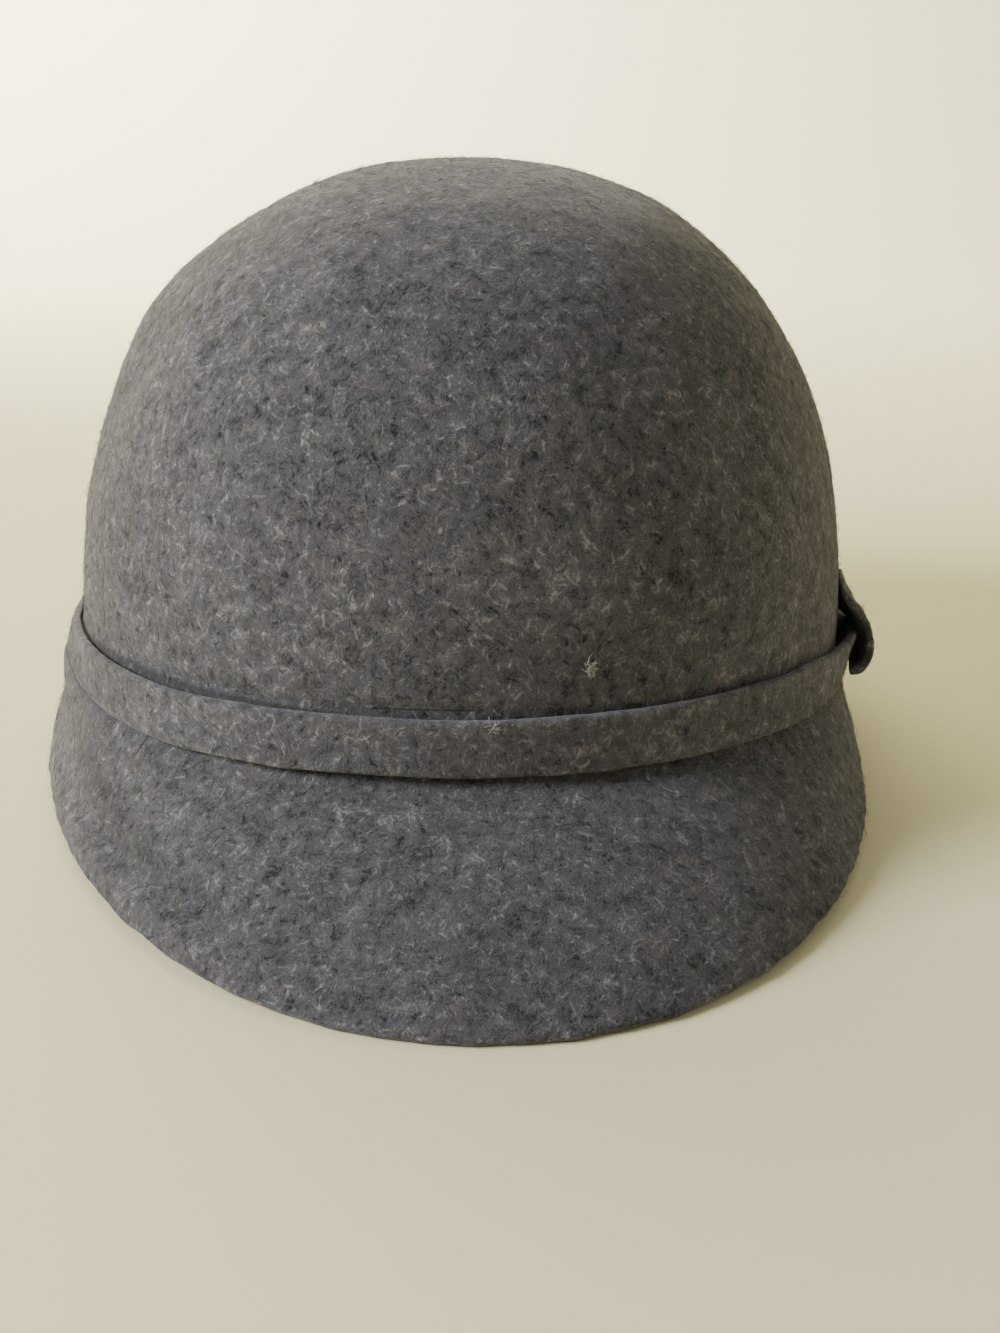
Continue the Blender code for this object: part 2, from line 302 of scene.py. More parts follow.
# Heights over the head line that cut the crown's profile into rows, closer near the band
def crownRises(rows):
    polar = np.linspace(np.pi / 2, 0, hoodShape["profileSteps"])
    power = 2 / hoodShape["profilePower"]
    out = hoodShape["crownDepth"] / 2 * np.cos(polar) ** power
    rise = hoodShape["crownHeight"] * np.sin(polar) ** power
    step = np.hypot(np.diff(out), np.diff(rise))
    apart = (rise[1:] - hoodShape["rowsAt"]) / hoodShape["rowsSpread"]
    step *= 1 + hoodShape["rowsMore"] * np.exp(-(apart**2))
    length = np.concatenate([[0], np.cumsum(step)])
    return np.interp(np.linspace(0, length[-1], rows + 1), length, rise)


# The hood's outer skin: crown and brim grids with dents, ripples and waves along the normal
def outerHood():
    turn = np.linspace(0, 2 * np.pi, hoodShape["columns"], endpoint=False)
    turns, rises = np.meshgrid(turn, crownRises(hoodShape["crownRows"]))
    crown = crownSurface(turns, rises)
    lift = np.zeros(crown.shape[:2])
    for dent in hoodShape["dents"]:
        y = -dent["fore"] * hoodShape["crownDepth"] / 2
        up = headLine(y) + dent["up"] * hoodShape["crownHeight"]
        centre = np.array([dent["side"] * hoodShape["crownWidth"] / 2, y, up])
        away = np.linalg.norm(crown - centre, axis=-1) / (dent["reach"] * hoodShape["crownHeight"])
        lift += dent["lift"] * hoodShape["felt"] * np.exp(-(away**2))
    fade = fadeIn(rises, hoodShape["crownWavesFrom"], hoodShape["crownWavesFade"])
    lift += softWaves(crown, hoodShape["waves"]) * fade
    lift += swell(turns, rises / hoodShape["swellRise"])
    press = turnBump(turns, hoodShape["grooveTurn"], hoodShape["grooveSpread"])
    apart = (rises - hoodShape["grooveRise"]) / hoodShape["grooveWide"]
    lift -= hoodShape["grooveDepth"] * press * np.exp(-(apart**2))
    normals = gridNormals(crown)
    normals[0] = (0, 0, 1)
    crown = crown + normals * lift[..., None]
    crown[0] = crown[0].mean(0)

    across = np.linspace(0, 1, hoodShape["brimRows"] + 1) ** hoodShape["brimRowPower"]
    turns, shares = np.meshgrid(turn, across)
    brim = brimSurface(turns, shares)
    lift = np.zeros(brim.shape[:2])
    fade = fadeIn(shares, 0, hoodShape["rippleFade"])
    for ripple in hoodShape["ripples"]:
        along = turnBump(turns, math.radians(ripple["turn"]), math.radians(ripple["spread"]))
        over = np.exp(-(((shares - ripple["across"]) / ripple["width"]) ** 2))
        lift += ripple["lift"] * hoodShape["felt"] * along * over * fade
    fade = fadeIn(shares, hoodShape["brimWavesFrom"], hoodShape["brimWavesFade"])
    lift += softWaves(brim, hoodShape["waves"]) * fade
    lift += swell(turns, shares / hoodShape["swellShare"])
    lift *= 1 - shares ** hoodShape["rimCalm"]
    brim = brim + gridNormals(brim) * lift[..., None]
    waver = softWaves(brim, hoodShape["rimWaves"]) * shares ** hoodShape["rimWavePower"]
    brim = brim + planNormal(turns) * waver[..., None]
    return np.concatenate([crown, brim[1:]])


# The hood: outer skin, a cut rim with rounded corners, and the inner skin one felt behind
def buildHood():
    outer = outerHood()
    normals = gridNormals(outer)
    normals[0] = (0, 0, 1)
    edge, edgeNormal = outer[-1], normals[-1]
    fall = outer[-1] - outer[-2]
    fall /= np.linalg.norm(fall, axis=-1, keepdims=True)
    felt, corner = hoodShape["felt"], hoodShape["cutCorner"]
    arc = np.linspace(0, np.pi / 2, hoodShape["cutSteps"])[1:, None, None]
    upper = edge - edgeNormal * corner * (1 - np.cos(arc)) + fall * corner * (np.sin(arc) - 1)
    arc = arc[::-1]
    depth = felt - corner * (1 - np.cos(arc))
    lower = edge - edgeNormal * depth + fall * corner * (np.sin(arc) - 1)
    trimmed = outer.copy()
    trimmed[-1] = edge - fall * corner
    pick = np.unique(np.linspace(0, len(outer) - 1, hoodShape["innerRows"]).astype(int))
    inner = (outer - normals * felt)[pick[-2::-1]]
    rings = np.concatenate([trimmed[1:], upper, lower, inner[:-1]])
    rings[..., 2] = np.maximum(rings[..., 2], 0.0)
    return skinMesh("feltHood", rings, poles=(trimmed[0, 0], inner[-1, 0])), outer


print("stage: hood surface")
hood, hoodSkin = buildHood()

bandShape = {
    "felt": 0.0022,
    "corner": 0.0008,
    "gap": 0.0004,
    "flare": 0.0006,
    "slack": 0.0011,
    "slackTurn": math.radians(-42),
    "slackSpread": math.radians(27),
    "slackLow": 0.5,  # share of the slack that the lower edge lacks
    "pressTurn": math.radians(-86),  # where the lower edge is pressed thin on the brim
    "pressSpread": math.radians(33),
    "pressShare": 0.50,
    "pressWhole": 0.12,
    "pressStand": 0.3,  # share of its standing off that the band loses there
    "thinFrom": 0.6,  # share of its width, from the upper edge, from which it gets thin
    "thinFade": 0.4,
    "pinchTurn": math.radians(71),
    "pinchSpread": math.radians(6),
    "pinchRoll": 0.0024,
    "pinchStand": 0.8,  # share of its standing off that the band loses near the loop
    # small folds on both sides of the loop: how many cross the band, and their slant
    "foldLift": 0.0005,
    "foldSpread": math.radians(15),
    "foldCount": 2.5,
    "foldSlant": 14,
    "edgeWaver": 0.8,
    "columns": 720,
    "flatSteps": 14,
    "cornerSteps": 5,
    # height of the upper and lower edge over the head line, by turn in degrees
    "edges": (
        {"turn": -108, "top": 0.0070, "bottom": -0.0014},
        {"turn": -92, "top": 0.0063, "bottom": -0.0016},
        {"turn": -74, "top": 0.0090, "bottom": -0.0016},
        {"turn": -45, "top": 0.0099, "bottom": -0.0014},
        {"turn": -30, "top": 0.0110, "bottom": -0.0006},
        {"turn": -13, "top": 0.0111, "bottom": -0.0001},
        {"turn": -5, "top": 0.0108, "bottom": -0.0003},
        {"turn": 12, "top": 0.0111, "bottom": -0.0001},
        {"turn": 32, "top": 0.0109, "bottom": -0.0003},
        {"turn": 46, "top": 0.0102, "bottom": -0.0010},
        {"turn": 66, "top": 0.0068, "bottom": -0.0012},
        {"turn": 81, "top": 0.0068, "bottom": -0.0012},
        {"turn": 104, "top": 0.0112, "bottom": -0.0008},
        {"turn": 180, "top": 0.0116, "bottom": -0.0006},
        {"turn": 228, "top": 0.0108, "bottom": -0.0008},
    ),
    "waves": {"count": 22, "shortest": 0.007, "longest": 0.05, "lift": 0.00010, "seed": 21},
}


# The band: a rounded strip section, its height eased between the edges and its depth standing off
# the crown by the gap, the slack at the left and the roll under the loop
def buildBand():
    turn = np.linspace(0, 2 * np.pi, bandShape["columns"], endpoint=False)
    a, b, cu, cv = stripSection(bandShape["flatSteps"], bandShape["cornerSteps"])
    top = roundTable(turn, bandShape["edges"], "top")
    bottom = roundTable(turn, bandShape["edges"], "bottom")
    half = (top - bottom) / 2
    corner, thick = bandShape["corner"], bandShape["felt"] / 2
    u = a[:, None] * (half - corner) + (cu * corner)[:, None]
    v = (b * (thick - corner) + cv * corner)[:, None]
    rise = (top + bottom) / 2 - u
    share = (u + half) / (2 * half)
    pinch = turnBump(turn, bandShape["pinchTurn"], bandShape["pinchSpread"])
    slack = turnBump(turn, bandShape["slackTurn"], bandShape["slackSpread"])
    press = turnBump(turn, bandShape["pressTurn"], bandShape["pressSpread"])
    stand = bandShape["gap"] + bandShape["slack"] * slack * (1 - bandShape["slackLow"] * share)
    stand = stand + bandShape["flare"] * share + swell(turn, rise / hoodShape["swellRise"])
    near = turnBump(turn, bandShape["pinchTurn"], 2 * bandShape["pinchSpread"])
    stand = stand * (1 - bandShape["pinchStand"] * near)
    stand = stand + bandShape["pinchRoll"] * pinch * (1 - share)
    stand = stand * (1 - bandShape["pressStand"] * press)
    low = fadeIn(share, bandShape["thinFrom"], bandShape["thinFade"])
    thin = 1 - bandShape["pressShare"] * press * low**2 - bandShape["pressWhole"] * press
    folds = turnBump(turn, bandShape["pinchTurn"], bandShape["foldSpread"]) - pinch
    wave = np.sin(share * 2 * np.pi * bandShape["foldCount"] + turn * bandShape["foldSlant"])
    pleat = bandShape["foldLift"] * folds * (1 + wave) / 2
    turns = np.broadcast_to(turn, rise.shape)
    place = crownSurface(turns, rise)
    uneven = softWaves(place, bandShape["waves"])
    out = stand + (thick + v) * thin + pleat + np.abs(uneven)
    points = place + planNormal(turns) * out[..., None]
    points[..., 2] += uneven * bandShape["edgeWaver"]
    return skinMesh("feltBand", points), points


print("stage: band")
band, bandSkin = buildBand()

loopShape = {
    "felt": 0.0018,
    "corner": 0.0006,
    "length": 0.0150,  # along the band
    "waist": 0.10,  # share of the length lost at the top of the arch
    "turn": math.radians(74),
    "top": 0.0176,
    "bottom": -0.0023,
    "lying": 0.0008,  # middle of the strip over the crown where it lies on it
    "arch": 0.0076,  # middle of the strip over the crown at the top of its arch
    "overBand": 0.0030,  # how far the tight rear end stands off more where it crosses the band
    "bandTop": 0.0080,
    "crossFade": 0.003,  # height over which the rear end steps on to the band
    "rearPower": 1.4,
    "thin": 0.45,  # thickness left where the strip lies on the crown
    "thinFrom": 0.8,
    "thinFade": 0.2,
    "steps": 72,
    "flatSteps": 14,
    "cornerSteps": 5,
    "bends": (
        {"up": 0.00, "out": 0.42},
        {"up": 0.05, "out": 0.78},
        {"up": 0.18, "out": 0.98},
        {"up": 0.37, "out": 1.00},
        {"up": 0.55, "out": 0.86},
        {"up": 0.69, "out": 0.62},
        {"up": 0.80, "out": 0.34},
        {"up": 0.91, "out": 0.10},
        {"up": 1.00, "out": 0.00},
    ),
    "waves": {"count": 16, "shortest": 0.004, "longest": 0.02, "lift": 0.00014, "seed": 31},
}


# Even steps along a smooth curve: Catmull-Rom spans between the bends, sampled by whole arrays
def smoothPath(bends, steps):
    knots = np.array([[bend["up"], bend["out"]] for bend in bends])
    knots = np.vstack([2 * knots[0] - knots[1], knots, 2 * knots[-1] - knots[-2]])
    place = np.linspace(0, len(bends) - 1, steps)
    span = np.minimum(place.astype(int), len(bends) - 2)
    t = (place - span)[:, None]
    before, start, end, after = (knots[span + k] for k in range(4))
    slope = (end - before) * t + (2 * before - 5 * start + 4 * end - after) * t**2
    return start + (slope + (3 * start - before - 3 * end + after) * t**3) / 2


# The loop: a rounded strip section carried along its arch, across the band. It puffs out at
# its front end and is pulled tight on the crown and the band at its rear end
def buildLoop():
    path = smoothPath(loopShape["bends"], loopShape["steps"])[::-1]
    rise = loopShape["bottom"] + (loopShape["top"] - loopShape["bottom"]) * path[:, 0]
    out = loopShape["lying"] + (loopShape["arch"] - loopShape["lying"]) * path[:, 1]
    down, away = np.gradient(rise), np.gradient(out)
    length = np.hypot(down, away)
    a, b, cu, cv = stripSection(loopShape["flatSteps"], loopShape["cornerSteps"])
    half = loopShape["length"] / 2 * (1 - loopShape["waist"] * path[:, 1:])
    corner, thick = loopShape["corner"], loopShape["felt"] / 2
    u = a * (half - corner) + cu * corner
    v = b * (thick - corner) + cv * corner
    lying = fadeIn(path[:, :1], loopShape["thinFrom"], loopShape["thinFade"])
    v = v * (1 - (1 - loopShape["thin"]) * lying)
    rises = rise[:, None] + v * (away / length)[:, None]
    rear = np.clip(0.5 + u / (2 * half), 0, 1) ** loopShape["rearPower"]
    fade = loopShape["crossFade"]
    crossing = fadeIn(loopShape["bandTop"] - rise, -fade / 2, fade)
    tight = loopShape["lying"] + loopShape["overBand"] * crossing**2 * (3 - 2 * crossing)
    outs = out[:, None] * (1 - rear) + tight[:, None] * rear
    outs = outs - v * (down / length)[:, None]
    angles = loopShape["turn"] + u / crownRadius
    points = crownSurface(angles, rises) + planNormal(angles) * outs[..., None]
    normals = gridNormals(points)
    points = points + normals * softWaves(points, loopShape["waves"])[..., None]
    return skinMesh("feltLoop", points, poles=(points[0].mean(0), points[-1].mean(0))), points


print("stage: loop")
loop, loopSkin = buildLoop()


# One output of a material's nodes. Arithmetic on it adds Math nodes, and node() adds any other
class Wire:
    def __init__(self, tree, socket=None):
        self.tree, self.socket = tree, socket

    def node(self, kind, settings=None, inputs=None, output=0):
        made = self.tree.nodes.new("ShaderNode" + kind)
        for name, value in (settings or {}).items():
            setattr(made, name, value)
        for key, value in (inputs or {}).items():
            if isinstance(value, Wire):
                self.tree.links.new(value.socket, made.inputs[key])
            else:
                made.inputs[key].default_value = value
        return Wire(self.tree, made.outputs[output])

    def math(self, operation, *values):
        return self.node("Math", {"operation": operation}, dict(enumerate((self, *values))))

    def vector(self, operation, other=None, output=0):
        inputs = {0: self} if other is None else {0: self, 1: other}
        return self.node("VectorMath", {"operation": operation}, inputs, output)

    def scaled(self, factor):
        return self.node("VectorMath", {"operation": "SCALE"}, {0: self, "Scale": factor})

    def step(self, low, high):
        inputs = {"Value": self, "From Min": low, "From Max": high}
        return self.node("MapRange", {"interpolation_type": "SMOOTHSTEP"}, inputs)

    def noise(self, size, detail=1.0, roughness=0.5, distortion=0.0):
        inputs = {"Vector": self, "Scale": 1 / size, "Detail": detail}
        inputs.update({"Roughness": roughness, "Distortion": distortion})
        return self.node("TexNoise", {}, inputs)

    def __add__(self, other):
        return self.math("ADD", other)

    __radd__ = __add__

    def __sub__(self, other):
        return self.math("SUBTRACT", other)

    def __rsub__(self, other):
        return self.math("MULTIPLY_ADD", -1.0, other)

    def __mul__(self, other):
        return self.math("MULTIPLY", other)

    __rmul__ = __mul__

    def __abs__(self):
        return self.math("ABSOLUTE")


# A new material's tree and shader, with the finish's fixed values on the shader's own sockets
def newMaterial(name, finish):
    material = bpy.data.materials.new(name)
    material.use_nodes = True
    shader = material.node_tree.nodes["Principled BSDF"]
    for socket, value in finish.items():
        shader.inputs[socket].default_value = value
    return material, material.node_tree, shader


# Mix of two colours by a factor, by the numbers that a Mix node's colour sockets have
def mixColour(factor, first, second):
    inputs = {0: factor, 6: first, 7: second}
    return factor.node("Mix", {"data_type": "RGBA"}, inputs, 2)


feltLook = {
    "dark": (0.014, 0.014, 0.016, 1),
    "ground": (0.076, 0.0755, 0.084, 1),
    "pale": (0.219, 0.217, 0.232, 1),
    "warm": (0.082, 0.077, 0.083, 1),
    # soft noises: the noise itself, then its weight in the tone and in the relief
    "mottle": {"size": 0.0030, "detail": 2.0, "rough": 0.6, "weight": 1.00, "relief": 0.8},
    "cloud": {"size": 0.020, "detail": 2.0, "rough": 0.5, "weight": 0.35},
    "grain": {"size": 0.00034, "detail": 1.0, "rough": 0.6, "weight": 0.22, "relief": 0.6},
    "warmPatch": {"size": 0.006, "from": 0.50, "to": 0.75},
    # tangled strokes: size of the cell that each lies in, half its width as a share of the cell,
    # how much it lightens or darkens, and where the layer starts
    "strokes": (
        {"cell": 0.0040, "wide": 0.12, "bend": 0.9, "weight": 0.26, "start": 0.0},
        {"cell": 0.0028, "wide": 0.14, "bend": 0.8, "weight": 0.26, "start": 3.7},
        {"cell": 0.0019, "wide": 0.16, "bend": 0.7, "weight": 0.22, "start": 8.1},
    ),
    "strokeApart": (1.0, 0.7, 0.0),  # the way in which a layer's start moves it
    "strokeBends": 0.9,  # bends in each cell
    "strokeCore": 0.25,  # share of its half width that is full
    "strokeHalf": 0.46,  # half length, and the part of it that is full, in cells
    "strokeFull": 0.25,
    "strokeDeal": 9.7,  # spreads the cells' random numbers
    "strokeLow": 0.85,
    # thin threads along the lines where a twisted noise passes its middle, pale and then dark
    "threads": (
        {"size": 0.0026, "twist": 1.2, "middle": 0.50, "wide": 0.036, "weight": 0.26},
        {"size": 0.001612, "twist": 1.0, "middle": 0.47, "wide": 0.032, "weight": -0.24},
    ),
    "threadRelief": 0.9,
    "baseTone": 0.47,
    "bandLift": 0.06,  # how much lighter in tone the band is than the hood
    # painted light: the loop is lifted lighter still, standing in for light on its shaded side
    "loopLightLift": 0.12,
    "darkTo": 0.52,  # tones between which the dark wool gives way to the ground, from 0
    "paleFrom": 0.48,
    "paleTo": 1.15,
    "markShade": 0.60,
    "markRelief": 0.8,
    "relief": {"Strength": 0.75, "Distance": 0.00035},
    "finish": {
        "Roughness": 0.95,
        "Specular IOR Level": 0.12,
        "Sheen Weight": 0.22,
        "Sheen Roughness": 0.45,
        "Sheen Tint": (0.80, 0.79, 0.80, 1),
    },
}


# One layer of strokes: in each Voronoi cell a capsule in a random direction along the surface,
# worth a random number inside, from minus the low value to 2 minus it, and 0 outside
def strokeLayer(place, normal, row):
    moved = tuple(row["start"] * share for share in feltLook["strokeApart"])
    shifted = place.scaled(1 / row["cell"]).vector("ADD", moved)
    inputs = {"Vector": shifted, "Scale": feltLook["strokeBends"], "Detail": 0.0}
    bend = shifted.node("TexNoise", {}, inputs, "Color")
    bent = shifted.vector("ADD", bend.vector("SUBTRACT", (0.5, 0.5, 0.5)).scaled(row["bend"]))
    inputs = {"Vector": bent, "Scale": 1.0, "Randomness": 1.0}
    colour = bent.node("TexVoronoi", {}, inputs, "Color")
    seed = Wire(colour.tree, colour.socket.node.outputs["Position"])
    apart = bent.vector("SUBTRACT", seed)
    apart = apart.vector("SUBTRACT", normal.scaled(apart.vector("DOT_PRODUCT", normal, "Value")))
    way = colour.vector("SUBTRACT", (0.5, 0.5, 0.5))
    way = way.vector("SUBTRACT", normal.scaled(way.vector("DOT_PRODUCT", normal, "Value")))
    way = way.vector("NORMALIZE")
    along = apart.vector("DOT_PRODUCT", way, "Value")
    across = apart.vector("SUBTRACT", way.scaled(along)).vector("LENGTH", None, "Value")
    inside = across.step(row["wide"], row["wide"] * feltLook["strokeCore"])
    inside = inside * abs(along).step(feltLook["strokeHalf"], feltLook["strokeFull"])
    deal = colour.node("SeparateXYZ", {}, {0: colour}, "X") * feltLook["strokeDeal"]
    return inside * (deal.math("FRACT") * 2.0 - feltLook["strokeLow"])


# One layer of threads: 1 where the noise is at its middle, falling to 0 over the thread's width
def threadLayer(place, row):
    noise = place.noise(row["size"], distortion=row["twist"])
    return abs(noise - row["middle"]).step(row["wide"], 0.0)


# Felt: mottled ground, strokes, thin curled threads and grain. Tone 0 is the dark wool, 0.5 the
# ground and 1 the pale wool. marks is an optional function that paints shade into creases and grooves
def feltMaterial(name, marks=None, lift=0.0):
    material, tree, shader = newMaterial(name, feltLook["finish"])
    start = Wire(tree)
    place = start.node("TexCoord", {}, {}, "Object")
    normal = start.node("TexCoord", {}, {}, "Normal")
    mottleLook, cloudLook, grainLook = (feltLook[part] for part in ("mottle", "cloud", "grain"))
    mottle, cloud, grain = (
        place.noise(look["size"], look["detail"], look["rough"]) - 0.5
        for look in (mottleLook, cloudLook, grainLook)
    )
    layers = [strokeLayer(place, normal, row) * row["weight"] for row in feltLook["strokes"]]
    strokes = sum(layers[1:], layers[0])
    layers = [threadLayer(place, row) * row["weight"] for row in feltLook["threads"]]
    threads = sum(layers[1:], layers[0])
    tone = mottle * mottleLook["weight"] + cloud * cloudLook["weight"] + grain * grainLook["weight"]
    tone = tone + strokes + threads + (feltLook["baseTone"] + lift)
    patch = feltLook["warmPatch"]
    warmth = place.noise(patch["size"]).step(patch["from"], patch["to"])
    ground = mixColour(warmth, feltLook["ground"], feltLook["warm"])
    darker = mixColour(tone.step(0.0, feltLook["darkTo"]), feltLook["dark"], ground)
    felt = mixColour(tone.step(feltLook["paleFrom"], feltLook["paleTo"]), darker, feltLook["pale"])
    height = threads * feltLook["threadRelief"] + grain * grainLook["relief"]
    height = height + mottle * mottleLook["relief"]
    if marks:
        # painted shade: the felt turns towards the dark wool where the mask is set
        depth = marks(place)
        felt = mixColour(depth * feltLook["markShade"], felt, feltLook["dark"])
        height = height - depth * feltLook["markRelief"]
    bump = start.node("Bump", {}, {**feltLook["relief"], "Height": height})
    tree.links.new(felt.socket, shader.inputs["Base Color"])
    tree.links.new(bump.socket, shader.inputs["Normal"])
    return material


# painted shade in the hood's felt: where it lies and how dark it is
hoodShadeMarks = {
    "creaseRise": 0.0121,  # the short crease above the band, painted as a line of shade, over the head line
    "creaseWide": 0.00035,
    "creaseFrom": math.radians(-15),
    "creaseTo": math.radians(-1),
    "creaseEase": math.radians(2.5),
    # painted shade in a small nick of the brim below the band
    "nickTurn": math.radians(-44.5),
    "nickWide": math.radians(0.32),
    "nickTop": -0.0012,
    "nickFoot": -0.0062,
    "nickTopEase": 0.0005,
    "nickFootEase": 0.0015,
    # painted shadow along the band's upper edge on the crown at the left, where the edge drops towards
    # the back
    "edgeShadowRise": 0.0103,
    "edgeShadowFade": 0.0009,
    "edgeShadowDropsFrom": math.radians(-52),
    "edgeShadowDrop": 0.0054,  # metres for each radian
    "edgeShadowFrom": math.radians(-104),
    "edgeShadowTo": math.radians(-12),
    "edgeShadowEase": math.radians(10),
    "edgeShadowFoot": 0.001,
    "edgeShadowDepth": 0.8,
    # painted shade in the groove behind the rim's lip, at a share of the rim's own outline
    "lipShare": 0.925,
    "lipWide": 0.032,
    "lipTurn": math.radians(-46),
    "lipSpread": math.radians(36),
    "lipPatch": 0.006,
    "lipShadeDepth": 0.55,
}


# The hood's painted shade, 0 to 1: shade in the crease, the nick and the lip's groove, and the
# band's shadow on the crown. The crease, the nick and the band's shadow are each a band in height
# over the head line times a band in turn. The lip's groove is a band in the share by which the rim's
# superellipse shrinks to pass through the place. The strongest mark counts
def creases(place):
    centred = place.vector("SUBTRACT", tuple(crownMiddle))
    x, y, z = (centred.node("SeparateXYZ", {}, {0: centred}, axis) for axis in "XYZ")
    front, back = hoodShape["headLineFront"], hoodShape["headLineBack"]
    rise = z - (y * ((back - front) / hoodShape["crownDepth"]) + (front + back) / 2)
    turn = x.math("ARCTAN2", y * -1.0)
    # painted shade lines in the crease and the nick
    crease = abs(rise - hoodShadeMarks["creaseRise"]).step(hoodShadeMarks["creaseWide"], 0.0)
    ease = hoodShadeMarks["creaseEase"]
    crease = crease * turn.step(hoodShadeMarks["creaseFrom"], hoodShadeMarks["creaseFrom"] + ease)
    crease = crease * turn.step(hoodShadeMarks["creaseTo"], hoodShadeMarks["creaseTo"] - ease)
    nick = abs(turn - hoodShadeMarks["nickTurn"]).step(hoodShadeMarks["nickWide"], 0.0)
    nick = nick * rise.step(hoodShadeMarks["nickFoot"], hoodShadeMarks["nickFoot"] + hoodShadeMarks["nickFootEase"])
    nick = nick * rise.step(hoodShadeMarks["nickTop"] + hoodShadeMarks["nickTopEase"], hoodShadeMarks["nickTop"])
    power = hoodShape["rimPower"]
    halfWidth = hoodShape["crownWidth"] / 2 + hoodShape["sideReach"]
    halfDepth = hoodShape["crownDepth"] / 2 + hoodShape["peakReach"]
    across = abs(x - hoodShape["brimShift"]) * (1 / halfWidth)
    outline = across.math("POWER", power) + abs(y * (1 / halfDepth)).math("POWER", power)
    share = outline.math("POWER", 1 / power)
    # painted shade in the groove behind the rim's lip
    lip = abs(share - hoodShadeMarks["lipShare"]).step(hoodShadeMarks["lipWide"], 0.0)
    lip = lip * abs(turn - hoodShadeMarks["lipTurn"]).step(hoodShadeMarks["lipSpread"], 0.0)
    lip = lip * (place.noise(hoodShadeMarks["lipPatch"]) + 0.5) * hoodShadeMarks["lipShadeDepth"]
    # painted shadow: the felt is darkened just above the band's upper edge at the left, where the band
    # shades the crown
    drop = (hoodShadeMarks["edgeShadowDropsFrom"] - turn).math("MAXIMUM", 0.0) * hoodShadeMarks["edgeShadowDrop"]
    edgeShadow = (rise + drop).step(hoodShadeMarks["edgeShadowRise"] + hoodShadeMarks["edgeShadowFade"], hoodShadeMarks["edgeShadowRise"])
    foot, ease = hoodShadeMarks["edgeShadowFoot"], hoodShadeMarks["edgeShadowEase"]
    edgeShadow = edgeShadow * rise.step(-foot, foot) * turn.step(hoodShadeMarks["edgeShadowFrom"], hoodShadeMarks["edgeShadowFrom"] + ease)
    edgeShadow = edgeShadow * turn.step(hoodShadeMarks["edgeShadowTo"], hoodShadeMarks["edgeShadowTo"] - ease) * hoodShadeMarks["edgeShadowDepth"]
    return crease.math("MAXIMUM", nick).math("MAXIMUM", lip).math("MAXIMUM", edgeShadow)


print("stage: felt materials")
# the hood's felt carries painted shade in its creases, in its lip's groove and along the band's upper
# edge
hood.data.materials.append(feltMaterial("hoodFelt", creases))
band.data.materials.append(feltMaterial("bandFelt", None, feltLook["bandLift"]))
# the loop's felt is lifted lighter as painted light
loop.data.materials.append(feltMaterial("loopFelt", None, feltLook["loopLightLift"]))

fuzzLook = {
    "pale": {"colour": (0.124, 0.123, 0.135, 1), "other": (0.090, 0.089, 0.098, 1), "radius": 0.000036},
    "dark": {"colour": (0.036, 0.036, 0.040, 1), "other": (0.062, 0.062, 0.066, 1), "radius": 0.000038},
    "lint": {"colour": (0.40, 0.39, 0.38, 1), "other": (0.33, 0.32, 0.31, 1), "radius": 0.00013},
    "length": 0.0017,
    "lintLength": 0.0010,
    "lengthSpread": 0.35,
    "rise": 0.00042,  # times a random size of this middle and spread
    "riseMiddle": 0.35,
    "riseSpread": 0.8,
    "arch": 2.2,  # radians of a sine over which a hair rises and comes back
    "curl": 0.8,
    "curlSpread": 0.5,
    "shorten": 0.25,
    "stations": (0.0, 0.38, 0.72, 1.0),  # shares of the length at the three rings and the tip
    "taper": 0.55,
    "lowest": 0.00002,
    "patch": {"size": 0.0035, "from": 0.35, "to": 0.65},
    "finish": {"Roughness": 0.9, "Specular IOR Level": 0.15},
    "overEdge": 0.0005,  # how far over and under the band the hairs start
    "underEdge": 0.0016,
    "batches": (
        {"name": "hoodFuzzPale", "on": "hood", "kind": "pale", "count": 12000, "seed": 41},
        {"name": "hoodFuzzDark", "on": "hood", "kind": "dark", "count": 9000, "seed": 42},
        {"name": "bandFuzz", "on": "band", "kind": "pale", "count": 2600, "seed": 43},
        {"name": "loopFuzz", "on": "loop", "kind": "pale", "count": 260, "seed": 44},
    ),
    # bits of lint: turn in degrees, height over the head line and how wide they spread
    "lintSeed": 51,
    "lints": (
        {"name": "lintCrown", "turn": 10.4, "rise": 0.0198, "out": 0.0002, "spread": 0.0010, "count": 46},
        {"name": "lintBand", "turn": -0.6, "rise": 0.0101, "out": 0.0028, "spread": 0.0010, "count": 24},
    ),
}


# Random places on a grid of points: cells drawn by area, then a random point of each cell
def scatter(points, keep, count, rng):
    normals = gridNormals(points)
    beside = np.roll(points, -1, axis=1)
    across = points[1:] - beside[:-1]
    area = np.linalg.norm(np.cross(across, beside[1:] - points[:-1]), axis=-1) / 2 * keep
    chance = area.ravel() / area.sum()
    row, column = np.divmod(rng.choice(area.size, count, p=chance), points.shape[1])
    s, t = rng.random((2, count, 1))
    following = (column + 1) % points.shape[1]
    places, directions = (
        (grid[row, column] * (1 - t) + grid[row, following] * t) * (1 - s)
        + (grid[row + 1, column] * (1 - t) + grid[row + 1, following] * t) * s
        for grid in (points, normals)
    )
    return places, directions / np.linalg.norm(directions, axis=-1, keepdims=True)


# Places within a small round spot of the crown, denser at its middle
def spotPlaces(spot, rng):
    apart = rng.normal(0, spot["spread"] / 2, (2, spot["count"]))
    turn = math.radians(spot["turn"]) + apart[0] / crownRadius
    normals = planNormal(turn)
    return crownSurface(turn, spot["rise"] + apart[1]) + normals * spot["out"], normals


